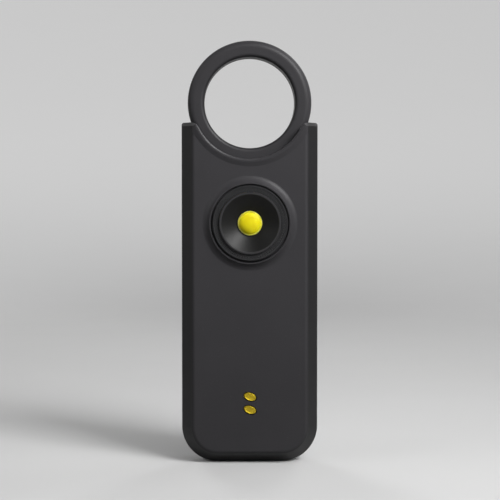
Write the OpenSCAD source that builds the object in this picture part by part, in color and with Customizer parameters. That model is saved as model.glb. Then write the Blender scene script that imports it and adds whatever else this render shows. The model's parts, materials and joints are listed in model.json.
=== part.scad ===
// Personal safety alarm with a pull ring, a siren and a strobe button
// Front faces -Y, Z is up, the foot stands on Z = 0. Millimetres.

/* [Body] */
// Width across the side walls
body_w = 36; // [34:1:40]
// Height from the foot to the shoulders
body_h = 90; // [88:1:96]
// Depth between the front and rear panels
body_d = 16; // [16:0.5:18]
// Radius of the two corners at the foot
corner_r = 9.5; // [8:0.5:11]
// Width of the bevel around each panel
bevel_w = 3; // [2.4:0.2:3.2]
// Depth of the bevel around each panel
bevel_d = 4.6; // [3.8:0.2:5]
// Rounding of the bevel's two edges
crest_r = 1.1; // [0.6:0.1:1.4]
// Wall thickness of the shells
wall = 1.6; // [1.4:0.1:1.8]
// Half width of the groove along the parting line
parting_half = 0.15; // [0.1:0.05:0.25]
// Depth of the groove along the parting line
parting_depth = 0.35; // [0.2:0.05:0.5]
// Height of the alignment lip inside the parting line
lip_h = 1; // [0.8:0.1:1.2]
// Thickness of the alignment lip
lip_t = 0.75; // [0.6:0.05:0.8]
// Gap between the alignment lip and the front shell
lip_gap = 0.06; // [0.04:0.01:0.1]

/* [Saddle] */
// Height of the ring's centre above the shoulders
ring_rise = 5.3; // [4.8:0.1:5.8]
// Radius of the saddle's lip
saddle_r = 14.9; // [14.6:0.1:15.2]
// Width of the raised collar along the saddle
collar_w = 2.1; // [1.6:0.1:2.4]
// Height of the collar above the front panel
collar_h = 0.65; // [0.4:0.05:0.9]
// Rounding of the saddle's edges
saddle_edge = 0.35; // [0.25:0.05:0.5]
// How much wider than deep the rounding of the saddle's lip is
lip_stretch = 2; // [1:0.25:2.25]
// Rounding where a shoulder turns down into the saddle
shoulder_r = 2.9; // [2.8:0.1:3.4]
// Bevel where the shoulders' tops meet the side walls
shoulder_edge = 0.35; // [0.2:0.05:0.5]
// Bevel where the shoulders' tops meet the bevels of the panels
shoulder_bevel = 1; // [0.4:0.05:1.2]

/* [Pull ring] */
// Outer diameter of the ring
ring_d = 32.8; // [32.4:0.1:33.2]
// Diameter of the finger hole
ring_bore = 24; // [22:0.5:25]
// Depth of the ring, front to back
ring_t = 8; // [7.4:0.2:8.4]
// Rounding of the ring's outer edges
ring_round = 1.8; // [1.2:0.1:2]
// Rounding of the finger hole's edges
hole_round = 1; // [0.6:0.1:1.2]
// Gap between the ring and its slot
slot_gap = 0.3; // [0.2:0.05:0.4]
// Width of the prong under the ring
prong_w = 8; // [7:0.5:10]
// Depth of the prong, front to back
prong_t = 3.6; // [3.2:0.1:4]
// Length of the prong below the ring
prong_l = 3.3; // [3:0.1:3.4]
// Gap between the prong and its socket
prong_gap = 0.2; // [0.15:0.05:0.3]
// Wall around the socket
socket_wall = 1.2; // [0.9:0.1:1.4]
// Length of the ring magnet
magnet_w = 6; // [5:0.5:6.5]
// Depth of the ring magnet, front to back
magnet_t = 2; // [1.6:0.1:2.4]
// Height of the ring magnet
magnet_h = 2.2; // [1.8:0.1:2.6]
// Thickness of the keeper plate
keeper_h = 0.7; // [0.5:0.05:0.8]
// Air gap between the magnet and the keeper plate
keeper_gap = 0.15; // [0.1:0.05:0.2]

/* [Siren] */
// Gap between the siren cup and the socket above it
siren_gap = 0.35; // [0.25:0.05:0.6]
// Height of the raised boss above the front panel
boss_h = 1.25; // [1.1:0.05:1.5]
// Diameter of the parts that drop into the siren tube
siren_d = 20.6; // [20:0.1:21.4]
// Width of the rim on top of the boss
boss_rim = 0.4; // [0.3:0.05:0.5]
// Width of the boss's slope
boss_flare = 2.1; // [1.6:0.05:2.4]
// Width of the ledge that carries the grille
ledge_w = 1.35; // [1:0.05:1.5]
// Width of the grille
grille_w = 1.75; // [1.6:0.05:1.9]
// Gap between the grille and the well
grille_gap = 0.35; // [0.25:0.05:0.4]
// Thickness of the grille
grille_t = 1.2; // [1:0.1:1.4]
// How far the grille lies below the rim of the boss
grille_drop = 0.15; // [0.1:0.05:0.3]
// Width of the grille's outer lip
grille_lip = 0.5; // [0.4:0.02:0.54]
// Bevel on the edge of the grille's outer lip
grille_bevel = 0.28; // [0.15:0.01:0.3]
// Sound windows in the grille
sound_windows = 8; // [6:1:12]
// Width of one sound window
window_w = 0.4; // [0.3:0.05:0.45]
// Thickness of the mesh that lies in the grille
mesh_t = 0.25; // [0.2:0.05:0.3]
// How far the mesh lies below the grille's lip
mesh_drop = 0.1; // [0.05:0.05:0.2]
// Gap between the mesh and the grille's lip
mesh_gap = 0.02; // [0.01:0.01:0.04]
// Diameter of one hole in the mesh
mesh_hole_d = 0.3; // [0.2:0.02:0.34]
// Holes in each row of the mesh
mesh_holes = 84; // [60:4:90]
// Rows of holes in the mesh
mesh_rows = 3; // [2:1:3]
// Gap between the horn's rim and the grille
mouth_gap = 0.1; // [0.05:0.05:0.2]
// How far the horn's rim stands above the grille
rim_rise = 0.5; // [0.3:0.05:0.6]
// Width of the horn's rim
rim_w = 0.6; // [0.4:0.05:0.7]
// Depth of the horn from its rim to the button
horn_depth = 2.15; // [1.9:0.05:2.4]
// Wall thickness of the horn
horn_wall = 0.9; // [0.7:0.1:1]
// Length of the guide behind the horn
guide_l = 2.5; // [2.4:0.1:2.7]
// Wall thickness of the guide behind the horn
guide_wall = 1.15; // [0.9:0.05:1.2]
// Radial gap around parts that drop into the siren tube
tube_gap = 0.1; // [0.05:0.05:0.2]
// Wall thickness of the siren tube
tube_wall = 1.4; // [1.2:0.1:1.4]
// Thickness of the horn's mounting ring
mount_ring_t = 1.2; // [1:0.1:1.4]
// Thickness of the siren gasket
gasket_t = 0.6; // [0.4:0.1:0.8]
// Width of the siren gasket
gasket_w = 1.9; // [1.4:0.1:2.1]
// Wall thickness of the siren cup
cup_wall = 1; // [0.8:0.1:1.1]
// Height of the rib on the rear shell that the cup bears on
rib_h = 0.5; // [0.3:0.1:0.8]
// Width of the rib that the cup bears on
rib_w = 2; // [1.5:0.1:2.4]
// Distance of the rib from the edge of the cup
rib_inset = 2.3; // [1.5:0.1:3]
// Width of the horn's four spokes
spoke_w = 1.6; // [1.2:0.1:2]
// Radial gap around the disc in its cup
disc_gap = 0.1; // [0.05:0.05:0.2]
// Width of the step that carries the disc
disc_step = 0.9; // [0.6:0.1:1.2]
// Depth of the hollow behind the disc
disc_hollow = 1.9; // [1.4:0.1:2.2]
// Thickness of the sounder disc
disc_t = 0.25; // [0.2:0.05:0.3]
// Diameter of the ceramic on the disc
ceramic_d = 13; // [11:0.5:14]
// Thickness of the ceramic on the disc
ceramic_t = 0.3; // [0.2:0.05:0.4]

/* [Strobe button] */
// Diameter of the button
button_d = 6.4; // [5.8:0.1:6.6]
// Height of the button's dome
dome_h = 1.5; // [1.1:0.1:1.8]
// Width of the flat rim around the dome
dome_rim = 0.3; // [0.2:0.05:0.4]
// How far the button's side stands out of its guide
button_proud = 0.35; // [0.2:0.05:0.5]
// Wall thickness of the button
button_wall = 0.9; // [0.7:0.1:1]
// Radius of the button's stem
stem_r = 1; // [0.8:0.1:1.2]
// Radial running clearance of the button in its guide
button_fit = 0.06; // [0.04:0.01:0.08]
// Travel of the button
button_travel = 0.5; // [0.3:0.05:0.5]
// Width of the button's flange beyond the button
flange_w = 1.2; // [1:0.1:1.4]
// Thickness of the button's flange
flange_t = 0.7; // [0.5:0.05:0.8]
// Gap between the flange and the guide that stops it
stop_gap = 0.05; // [0.03:0.01:0.1]
// Width of the tact switch
tact_w = 3; // [2.6:0.1:3.2]
// Height of the tact switch
tact_h = 1.45; // [1.3:0.05:1.5]
// Diameter of the tact switch's plunger
plunger_d = 1.8; // [1.4:0.1:2]
// Diameter of the switch board
switch_board_d = 14.4; // [13.8:0.2:15]
// Thickness of the switch board
switch_board_t = 0.8; // [0.6:0.1:1]
// Distance of the switch board's posts from the siren's axis
post_r = 5.9; // [5.8:0.1:6.1]
// Diameter of the switch board's posts
post_d = 1.6; // [1.4:0.1:1.8]
// Diameter of the pin at the end of a post
post_pin_d = 0.9; // [0.7:0.1:1]
// Distance of a strobe lamp from the button's axis
lamp_x = 3.4; // [3:0.1:3.6]
// Width of a strobe lamp
lamp_w = 0.9; // [0.7:0.1:1]
// Length of a strobe lamp
lamp_l = 1.6; // [1.2:0.1:2]
// Height of a strobe lamp
lamp_h = 0.6; // [0.4:0.05:0.7]
// Length of the magnet sensor
sensor_w = 2.9; // [2:0.1:3]
// Width of the magnet sensor
sensor_l = 1.3; // [1:0.1:1.4]
// Height of the magnet sensor
sensor_h = 1; // [0.7:0.1:1.1]

/* [Main board and battery] */
// Gap between the main board and the side walls
board_side_gap = 1.4; // [1.2:0.1:2.5]
// Gap between the main board and the siren tube above it
board_gap = 1.7; // [1.2:0.1:2.4]
// Height of the board's lower edge above the foot
board_z = 12; // [11:0.5:12]
// Thickness of the main board
board_t = 1; // [0.8:0.1:1.2]
// Diameter of the posts that carry the main board
board_post_d = 3.2; // [2.6:0.2:3.6]
// Diameter of the pin at the end of a board post
board_pin_d = 1.2; // [1:0.1:1.4]
// Distance of a board post from the board's edges
board_post_in = 2.2; // [2:0.1:3]
// Distance of the board's front face behind the front panel
board_depth = 5; // [4.8:0.1:5.2]
// Width of the battery cell
cell_w = 23; // [20:1:24]
// Height of the cell's lower edge above the foot
cell_z = 11; // [10.5:0.5:13]
// Distance from the board's upper edge down to the cell
cell_drop = 3; // [2.6:0.2:6]
// Thickness of the battery cell
cell_t = 5.6; // [4.8:0.2:5.8]
// Thickness of the foam pad behind the cell
pad_t = 1; // [0.8:0.1:1.2]
// Corner radius of the cell
cell_r = 1; // [0.6:0.1:1.4]
// How much the foam pad is narrower and lower than the cell
pad_inset = 2.5; // [1.5:0.5:4]
// Edge of the controller chip
chip_w = 5; // [4:0.5:6]
// Height of the controller chip
chip_h = 0.9; // [0.7:0.1:1.2]
// Edge of the boost inductor
coil_w = 6.4; // [5:0.2:7]
// Height of the boost inductor
coil_h = 2.4; // [1.8:0.1:2.6]
// Distance of the chip and the inductor from the middle
chip_x = 6; // [5:0.5:7]
// Length of one capacitor
cap_l = 1.6; // [1:0.1:2]
// Width and height of one capacitor
cap_w = 0.8; // [0.5:0.05:1]
// Distance between capacitors
cap_pitch = 3.6; // [2.4:0.2:4]

/* [Leads and flex strip] */
// Diameter of the insulated leads
lead_d = 0.8; // [0.6:0.1:1]
// Bending radius of the leads
lead_bend = 0.9; // [0.8:0.1:1.1]
// Straight end of a lead before its bend
lead_stub = 0.3; // [0.1:0.1:0.4]
// Distance of the siren leads from the middle
siren_lead_x = 3.2; // [2.8:0.1:3.4]
// Distance of the battery leads from the middle
cell_lead_x = 6.5; // [5:0.5:8]
// Width of the flex strip
flex_w = 4; // [3:0.2:4.4]
// Thickness of the flex strip
flex_t = 0.22; // [0.15:0.01:0.3]
// Length of the flex strip on each board
flex_tail = 3.7; // [3:0.1:5]

/* [Charging contacts] */
// Height of the upper contact above the foot
contact_z = 17.8; // [16.5:0.1:19]
// Distance between the two contacts
contact_pitch = 3.45; // [3.2:0.05:4]
// Length of one contact
contact_w = 3.4; // [2.8:0.1:3.6]
// Height of one contact
contact_h = 2.1; // [1.8:0.1:2.3]
// Slant of the contacts, in degrees
contact_slant = 20; // [0:1:30]
// Depth of the pocket around a contact
contact_pocket = 0.45; // [0.3:0.05:0.6]
// Gap around a contact in its pocket
contact_gap = 0.2; // [0.1:0.02:0.24]
// Width of the step around a contact's face
contact_step = 0.22; // [0.15:0.01:0.3]
// How far a contact's step lies below the front panel
contact_sink = 0.1; // [0.05:0.05:0.2]
// Diameter of the contact's shank
shank_d = 1.5; // [1.2:0.1:1.6]
// How far the shank stands out behind the panel
shank_end = 0.7; // [0.5:0.1:0.9]
// Width of a contact spring's leaf
spring_w = 1.5; // [1.2:0.1:1.7]
// Thickness of a contact spring's leaf
spring_t = 0.25; // [0.2:0.01:0.3]
// Length of a contact spring
spring_l = 7; // [6:0.5:9]

/* [Screws] */
// Distance of the lower screws from the middle
screw_low_x = 11; // [10:0.5:11]
// Height of the lower screws above the foot
screw_low_z = 7.2; // [6.8:0.1:7.6]
// Distance of the upper screws from the middle
screw_top_x = 13; // [12.6:0.1:13]
// Distance of the upper screws below the shoulders
screw_top_drop = 11; // [10.5:0.5:11.5]
// Diameter of a screw's shank
screw_d = 1.7; // [1.4:0.1:2]
// Length of a screw's shank
screw_l = 9; // [8:0.5:10]
// Diameter of a screw's head
head_d = 3.2; // [2.8:0.1:3.4]
// Height of a screw's head
head_h = 1.2; // [1:0.1:1.4]
// Depth of a screw's seat behind the rear panel
head_seat = 3; // [2.4:0.2:3.4]
// Width of the cross recess in a screw's head
recess_w = 0.36; // [0.3:0.02:0.5]
// Length of the cross recess in a screw's head
recess_l = 1.76; // [1.4:0.02:2]
// Diameter of the screw posts
screw_post_d = 4.6; // [4.4:0.1:4.8]

/* [Hidden] */
$fn = 96;
crest_steps = 12;
cavity_crest = 0.4;
cavity_steps = 2;
saddle_steps = 6;
boss_steps = 14;
boss_curl = 2.1;
chamfer = 0.12;
top_over = 2;
solid_top = 8;
lip_stop = 8;
tube_reach = 2.6;
stem_seat = 0.15;
plunger_seat = 0.7;
plunger_gap = 0.08;
play = 0.05;
keeper_side = 0.35;
screw_bite = 0.02;
screw_slip = 0.15;
head_slip = 0.25;
thread_end = 2.5;
pin_tip = 0.5;
parts_row = 0.7;
caps_row = 0.45;
root = wall / 2;

ring_r = ring_d / 2;
ring_z = body_h + ring_rise;
slot_r = ring_r + slot_gap;
slot_half = ring_t / 2 + slot_gap;
bulkhead_r = slot_r + wall;
cavity_top = body_h - solid_top;
lip_top = cavity_top - lip_stop;
front_y = -body_d / 2;
drop_in_r = siren_d / 2;
tube_r = drop_in_r + tube_gap;
well_r = drop_in_r + tube_gap / 2;
boss_top_r = well_r + boss_rim;
boss_base_r = boss_top_r + boss_flare;
grille_r = well_r - grille_gap;
grille_front = grille_drop - boss_h;
grille_seat = grille_front + grille_t;
mouth_r = grille_r - grille_w - mouth_gap;
mouth_in = mouth_r - rim_w;
grille_in_r = grille_r - grille_w;
rim_front = grille_front - rim_rise;
front_reach = max(boss_h, -rim_front);
mesh_front = grille_front + mesh_drop;
mesh_r = grille_r - grille_lip - mesh_gap;
mesh_in_r = grille_in_r + mesh_gap;
throat = rim_front + horn_depth;
guide_end = throat + guide_l;
ledge_r = well_r - ledge_w;
cup_in_r = drop_in_r - cup_wall;
disc_r = cup_in_r - disc_gap;
tube_end = wall + mount_ring_t + gasket_t + tube_reach;
gasket_front = wall + mount_ring_t;
cup_front = gasket_front + gasket_t;
cup_back = body_d - wall - rib_h;
disc_back = cup_back - cup_wall - disc_hollow;
disc_front = disc_back - disc_t;
button_r = button_d / 2;
guide_r = button_r + button_fit;
guide_out_r = guide_r + guide_wall;
spoke_r = guide_out_r - guide_wall / 2;
flange_r = button_r + flange_w;
flange_front = guide_end + stop_gap;
flange_back = flange_front + flange_t;
stem_end = flange_back - stem_seat;
tact_front = flange_back + button_travel + play;
switch_front = tact_front + tact_h;
switch_back = switch_front + switch_board_t;
prong_tip = ring_z - ring_r - prong_l;
keeper_top = prong_tip - keeper_gap;
keeper_bottom = keeper_top - keeper_h;
socket_bottom = keeper_bottom - socket_wall / 2;
siren_z = socket_bottom - siren_gap - drop_in_r;
board_top = siren_z - tube_r - tube_wall - board_gap;
board_h = board_top - board_z;
board_w = body_w - 2 * wall - 2 * board_side_gap;
board_back = board_depth + board_t;
cell_top = board_top - cell_drop;
cell_h = cell_top - cell_z;
cell_back = body_d - wall - pad_t;
cell_front = cell_back - cell_t;
socket_half_w = prong_w / 2 + prong_gap + socket_wall;
socket_half_t = prong_t / 2 + prong_gap + socket_wall;
contact_end = wall + shank_end;
screw_top_z = body_h - screw_top_drop;
screw_spots = [[-screw_low_x, screw_low_z], [screw_low_x, screw_low_z],
    [-screw_top_x, screw_top_z], [screw_top_x, screw_top_z]];
board_posts = [for (sx = [-1, 1], z = [board_z + board_post_in, board_top - board_post_in])
    [sx * (board_w / 2 - board_post_in), z]];

// Y of a plane that lies the given depth behind the front panel
function at(depth) = front_y + depth;

// Edge line of a bevel: inward distance and depth, from the wall to the panel, with rounded ends
function bevel_line(w, d, r, n) = let (
    lean = atan2(w, d),
    foot = r * tan(lean / 2),
    head = r * tan((90 - lean) / 2))
    concat(
        [for (i = [0:n]) let (a = lean * i / n) [r - r * cos(a), d + foot - r * sin(a)]],
        [for (i = [0:n]) let (a = lean + (90 - lean) * i / n) [w + head - r * cos(a), r - r * sin(a)]]);

// Rounding of the saddle's edge towards a face that leans outwards, carried on a little past its end
function edge_line(lean, r, n) = let (
    arc = [for (i = [0:n]) let (a = 180 - (90 + lean) * i / n) [r + r * cos(a), r * sin(a)]])
    concat(arc, [arc[n] * 3 - arc[n - 1] * 2]);

function back_to_front(line) = [for (i = [len(line) - 1:-1:0]) line[i]];

// Stands a flat shape drawn in X and Z upright, its thickness along Y
module upright() {
    rotate([90, 0, 0]) children();
}

// Turns a flat shape drawn in Y and Z, its thickness along X
module sideways(width) {
    rotate([90, 0, 90]) linear_extrude(width, center = true) children();
}

// A revolved profile drawn as radius and depth behind the front panel, about an axis at x, z
module turned(x, z) {
    translate([x, front_y, z]) rotate([-90, 0, 0]) rotate_extrude() children();
}

// A pin along Y between two depths behind the front panel
module pin(x, z, r, from, to) {
    translate([x, at(from), z]) rotate([-90, 0, 0]) cylinder(r = r, h = to - from);
}

// A block between two depths behind the front panel
module block(x, z, w, h, from, to) {
    translate([x - w / 2, at(from), z - h / 2]) cube([w, to - from, h]);
}

// Body form with bevelled panels and round foot corners, drawn in by inset, its panels raised by rise
module slab(inset, rise, crest, steps) {
    run = sqrt(bevel_w * bevel_w + bevel_d * bevel_d) - bevel_w - bevel_d;
    taller = 1 + rise / bevel_d;
    line = bevel_line(bevel_w * taller + inset * run / bevel_d, bevel_d * taller + inset * run / bevel_w,
        crest, steps);
    half_w = body_w / 2 - inset;
    half_d = body_d / 2 - inset + rise;
    r = corner_r - inset;
    back = back_to_front(line);
    translate([0, 0, inset]) {
        translate([0, 0, r])
            linear_extrude(body_h - inset - r + top_over)
                polygon(concat(
                    [for (p = line) [half_w - p[0], p[1] - half_d]],
                    [for (p = back) [p[0] - half_w, p[1] - half_d]],
                    [for (p = line) [p[0] - half_w, half_d - p[1]]],
                    [for (p = back) [half_w - p[0], half_d - p[1]]]));
        sideways(2 * (half_w - r))
            polygon(concat(
                [for (p = line) [p[1] - half_d, p[0]]],
                [[-half_d, r + 2], [half_d, r + 2]],
                [for (p = back) [half_d - p[1], p[0]]]));
        for (side = [0, 1])
            translate([(1 - 2 * side) * (half_w - r), 0, r])
                upright()
                    rotate_extrude(angle = 90, start = 270 - 90 * side)
                        polygon(concat(
                            [[0, half_d], [0, -half_d]],
                            [for (p = back) [r - p[0], p[1] - half_d]],
                            [for (p = line) [r - p[0], half_d - p[1]]]));
    }
}

// Raised collar along the saddle, which runs out at the side bevels
module collar() {
    half = body_d / 2;
    slope = collar_h / collar_w;
    sunk = 0.03;
    intersection() {
        slab(sunk, 3 * collar_h, crest_r, crest_steps);
        translate([0, 0, ring_z])
            upright()
                rotate_extrude()
                    polygon([[saddle_r - 1, half - root], [saddle_r - 1, half + collar_h + slope],
                        [saddle_r + collar_w, half - sunk], [saddle_r + collar_w, half - root]]);
    }
}

// Round saddle through both shells, with rounded edges and a wider rounding along its lip
module saddle_cut() {
    half = body_d / 2;
    lean = atan2(lip_stretch * collar_h, collar_w);
    ease = 0.005;
    front = half + collar_h - ease - saddle_edge * (tan(lean) + 1 / cos(lean));
    rear = half - ease - saddle_edge;
    front_line = edge_line(lean, saddle_edge, saddle_steps);
    rear_line = back_to_front(edge_line(0, saddle_edge, saddle_steps));
    translate([0, 0, ring_z])
        upright()
            rotate_extrude()
                polygon(concat(
                    [[0, half + 3], [0, -half - 3], [saddle_r + rear_line[0][0], -half - 3]],
                    [for (p = rear_line) [saddle_r + p[0], -rear - p[1]]],
                    [for (p = front_line) [saddle_r + lip_stretch * p[0], front + p[1]]],
                    [[saddle_r + lip_stretch * front_line[saddle_steps + 1][0], half + 3]]));
}

// Rounding of each shoulder where it turns down into the saddle
module shoulder_round_cut() {
    ease = 0.012;
    round_z = body_h + ease - shoulder_r;
    reach = saddle_r + shoulder_r - ease;
    round_x = sqrt(reach * reach - pow(ring_z - round_z, 2));
    sweep = 90 - atan2(ring_z - round_z, round_x);
    for (flip = [0, 1])
        mirror([flip, 0, 0])
            translate([round_x, 0, round_z])
                upright()
                    rotate_extrude(angle = sweep, start = 90)
                        translate([shoulder_r, -body_d]) square([4, 2 * body_d]);
}

// Fine bevel along the outer edges of the shoulders' tops: the side wall, then the front and rear bevels
module shoulder_edge_cut() {
    lean = atan2(bevel_w, bevel_d);
    for (flip_x = [0, 1])
        mirror([flip_x, 0, 0]) {
            translate([body_w / 2, 0, body_h]) edge_bar(shoulder_edge);
            for (flip_y = [0, 1])
                mirror([0, flip_y, 0])
                    translate([body_w / 2, bevel_d - body_d / 2, body_h])
                        rotate([0, 0, -lean])
                            edge_bar(shoulder_bevel);
        }
}

// Long bar that takes a bevel of the given width off the edge it stands on
module edge_bar(bevel) {
    bar = 4;
    rotate([0, -45, 0])
        translate([-bevel / sqrt(2), -body_d, -bar / 2])
            cube([bar, 2 * body_d, bar]);
}

// Slot for the ring and socket for its prong, shared by both shells
module ring_slot_cut() {
    translate([0, 0, ring_z]) upright() cylinder(r = slot_r, h = 2 * slot_half, center = true);
    slot_w = prong_w + 2 * prong_gap;
    slot_t = prong_t + 2 * prong_gap;
    translate([-slot_w / 2, -slot_t / 2, keeper_top])
        cube([slot_w, slot_t, ring_z - slot_r + 1 - keeper_top]);
    seat_w = slot_w - 2 * (keeper_side - play);
    seat_t = slot_t - 2 * (keeper_side - play);
    translate([-seat_w / 2, -seat_t / 2, keeper_bottom]) cube([seat_w, seat_t, keeper_h + 1]);
}

// Hollow inside both shells
module cavity() {
    difference() {
        intersection() {
            slab(wall, 0, cavity_crest, cavity_steps);
            translate([-body_w, -body_d, 0]) cube([2 * body_w, 2 * body_d, cavity_top]);
        }
        translate([0, 0, ring_z]) upright() cylinder(r = bulkhead_r, h = 2 * body_d, center = true);
    }
}

// Outline of the body up to a height, drawn in by inset
module outline(inset, top) {
    r = corner_r - inset;
    half_w = body_w / 2 - inset;
    translate([-half_w, corner_r]) square([2 * half_w, top - corner_r]);
    translate([-half_w + r, inset]) square([2 * (half_w - r), corner_r]);
    for (sx = [-1, 1]) translate([sx * (half_w - r), corner_r]) circle(r = r);
}

// Outer form of both shells, with the fine groove along the parting line
module body_form() {
    difference() {
        union() {
            slab(0, 0, crest_r, crest_steps);
            collar();
        }
        translate([-body_w, -body_d, body_h]) cube([2 * body_w, 2 * body_d, 2 * top_over]);
        saddle_cut();
        shoulder_round_cut();
        shoulder_edge_cut();
        upright()
            linear_extrude(2 * parting_half, center = true)
                difference() {
                    translate([-body_w, -2]) square([2 * body_w, body_h - 3]);
                    outline(parting_depth, body_h);
                }
    }
}

// Half of the body: side -1 is the front, side 1 the rear
module half_shell(side) {
    difference() {
        intersection() {
            body_form();
            translate([-body_w, side < 0 ? -body_d : 0, -1]) cube([2 * body_w, body_d, body_h + 10]);
        }
        cavity();
    }
    intersection() {
        translate([-socket_half_w, -socket_half_t, socket_bottom])
            cube([2 * socket_half_w, 2 * socket_half_t, ring_z - slot_r - socket_bottom]);
        translate([-body_w, side < 0 ? -body_d : 0, 0]) cube([2 * body_w, body_d, body_h]);
    }
}

// Front half of the housing
module front_shell() {
    color("#3a3a3c")
    difference() {
        union() {
            half_shell(-1);
            turned(0, siren_z) boss_section();
            turned(0, siren_z)
                translate([ledge_r, root]) square([tube_r + tube_wall - ledge_r, tube_end - root]);
            for (p = screw_spots) pin(p[0], p[1], screw_post_d / 2, root, body_d / 2);
            for (p = board_posts) pin(p[0], p[1], board_post_d / 2, root, board_depth);
            for (p = board_posts) pin(p[0], p[1], board_pin_d / 2, root, board_back + pin_tip);
        }
        ring_slot_cut();
        pin(0, siren_z, well_r, -boss_h - 1, grille_seat);
        pin(0, siren_z, ledge_r, -boss_h - 1, wall + 1);
        pin(0, siren_z, tube_r, wall, body_d);
        for (p = screw_spots) pin(p[0], p[1], screw_d / 2 + screw_bite, thread_end, body_d);
        for (i = [0, 1]) {
            z = contact_z - i * contact_pitch;
            translate([0, at(-1), z])
                rotate([-90, contact_slant, 0])
                    scale([contact_w / 2 + contact_gap, contact_h / 2 + contact_gap, 1])
                        cylinder(r = 1, h = 1 + contact_pocket);
            pin(0, z, shank_d / 2 + play, -1, wall + 1);
        }
        rear_lip(lip_gap);
    }
}

// Section of the raised boss: a rim on a slope that runs out into the panel
module boss_section() {
    sunk = 0.03;
    polygon(concat(
        [[ledge_r, root], [ledge_r, -boss_h], [boss_top_r - chamfer, -boss_h]],
        [for (i = [0:boss_steps]) let (t = i / boss_steps)
            [boss_top_r + boss_flare * t, sunk - (boss_h + sunk - chamfer) * pow(1 - t, boss_curl)]],
        [[boss_base_r, root]]));
}

// Alignment lip of the rear shell, grown by a clearance where it is cut out of the front shell
module rear_lip(grow) {
    upright()
        linear_extrude(lip_h + grow)
            difference() {
                outline(wall - lip_t - grow, lip_top + grow);
                translate([0, -0.01]) outline(wall + grow / 2, body_h);
            }
}

// Rear half of the housing
module rear_shell() {
    color("#363638")
    difference() {
        union() {
            half_shell(1);
            rear_lip(0);
            upright()
                translate([0, 0, -lip_h])
                    linear_extrude(lip_h)
                        difference() {
                            outline(wall - lip_t, lip_top);
                            outline(wall + 0.2, body_h);
                        }
            turned(0, siren_z)
                translate([drop_in_r - rib_inset - rib_w, cup_back]) square([rib_w, rib_h + root]);
            for (p = screw_spots) pin(p[0], p[1], screw_post_d / 2, body_d / 2, body_d - root);
        }
        ring_slot_cut();
        for (p = screw_spots) {
            pin(p[0], p[1], screw_d / 2 + screw_slip, 1, body_d + 1);
            pin(p[0], p[1], head_d / 2 + head_slip, body_d - head_seat, body_d + 1);
        }
    }
}

// Four screws that close the shells from the back
module shell_screws() {
    seat = body_d - head_seat;
    color("#8c8f94")
    for (p = screw_spots)
        difference() {
            union() {
                pin(p[0], p[1], screw_d / 2, seat - screw_l, seat + 0.2);
                turned(p[0], p[1])
                    polygon([[0, seat], [head_d / 2, seat], [head_d / 2, seat + head_h * 0.55],
                        [head_d / 2 - 0.35, seat + head_h * 0.9], [head_d / 2 - 0.7, seat + head_h],
                        [0, seat + head_h]]);
            }
            for (size = [[recess_l, recess_w], [recess_w, recess_l]])
                block(p[0], p[1], size[0], size[1], seat + head_h / 2, seat + head_h + 1);
        }
}

// Finger ring with rounded edges and a prong that plugs into the body
module pull_ring() {
    color("#404042")
    difference() {
        union() {
            translate([0, 0, ring_z]) upright() rotate_extrude() ring_section();
            translate([-prong_w / 2, -prong_t / 2, prong_tip])
                cube([prong_w, prong_t, prong_l + ring_round]);
        }
        magnet_block(0.02, 1);
    }
}

// Section of the ring: a bar whose corners are rounded
module ring_section() {
    bore_r = ring_bore / 2;
    half = ring_t / 2;
    translate([bore_r + hole_round, -half])
        square([ring_r - ring_round - bore_r - hole_round, ring_t]);
    translate([bore_r, hole_round - half])
        square([2 * hole_round, ring_t - 2 * hole_round]);
    translate([ring_r - 2 * ring_round, ring_round - half])
        square([2 * ring_round, ring_t - 2 * ring_round]);
    for (sy = [-1, 1]) {
        translate([bore_r + hole_round, sy * (half - hole_round)]) circle(r = hole_round);
        translate([ring_r - ring_round, sy * (half - ring_round)]) circle(r = ring_round);
    }
}

// Bar magnet in the end of the prong
module magnet_block(grow, below) {
    translate([-magnet_w / 2 - grow, -magnet_t / 2 - grow, prong_tip - below])
        cube([magnet_w + 2 * grow, magnet_t + 2 * grow, magnet_h + below]);
}

module ring_magnet() {
    color("#b9bcc0") magnet_block(0, 0);
}

// Steel plate at the bottom of the socket
module keeper_plate() {
    plate_w = prong_w + 2 * prong_gap - 2 * keeper_side;
    plate_t = prong_t + 2 * prong_gap - 2 * keeper_side;
    color("#9a9da2")
    translate([-plate_w / 2, -plate_t / 2, keeper_bottom]) cube([plate_w, plate_t, keeper_h]);
}

// Ring around the horn's mouth, with a lip around the mesh and windows behind it
module siren_grille() {
    bed = mesh_front + mesh_t;
    step = 360 / sound_windows;
    color("#2b2b2d")
    difference() {
        turned(0, siren_z)
            polygon([[grille_in_r, grille_seat], [grille_in_r, bed], [grille_r - grille_lip, bed],
                [grille_r - grille_lip, grille_front], [grille_r - grille_bevel, grille_front],
                [grille_r, grille_front + grille_bevel], [grille_r, grille_seat]]);
        for (i = [0:sound_windows - 1])
            translate([0, front_y, siren_z])
                rotate([-90, 0, 0])
                    rotate_extrude(angle = 0.75 * step, start = i * step)
                        translate([ledge_r - window_w - mesh_gap, bed - 1]) square([window_w, grille_t + 2]);
    }
}

// Fine perforated mesh that lies in the grille
module siren_mesh() {
    pitch = (mesh_r - mesh_in_r) / (mesh_rows + 0.5);
    color("#303032")
    difference() {
        turned(0, siren_z)
            translate([mesh_in_r, mesh_front]) square([mesh_r - mesh_in_r, mesh_t]);
        for (row = [0:mesh_rows - 1], i = [0:mesh_holes - 1]) {
            a = 360 * (i + row / 2) / mesh_holes;
            r = mesh_in_r + pitch * (row + 0.75);
            pin(r * cos(a), siren_z + r * sin(a), mesh_hole_d / 2, mesh_front - 1, mesh_front + mesh_t + 1);
        }
    }
}

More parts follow.
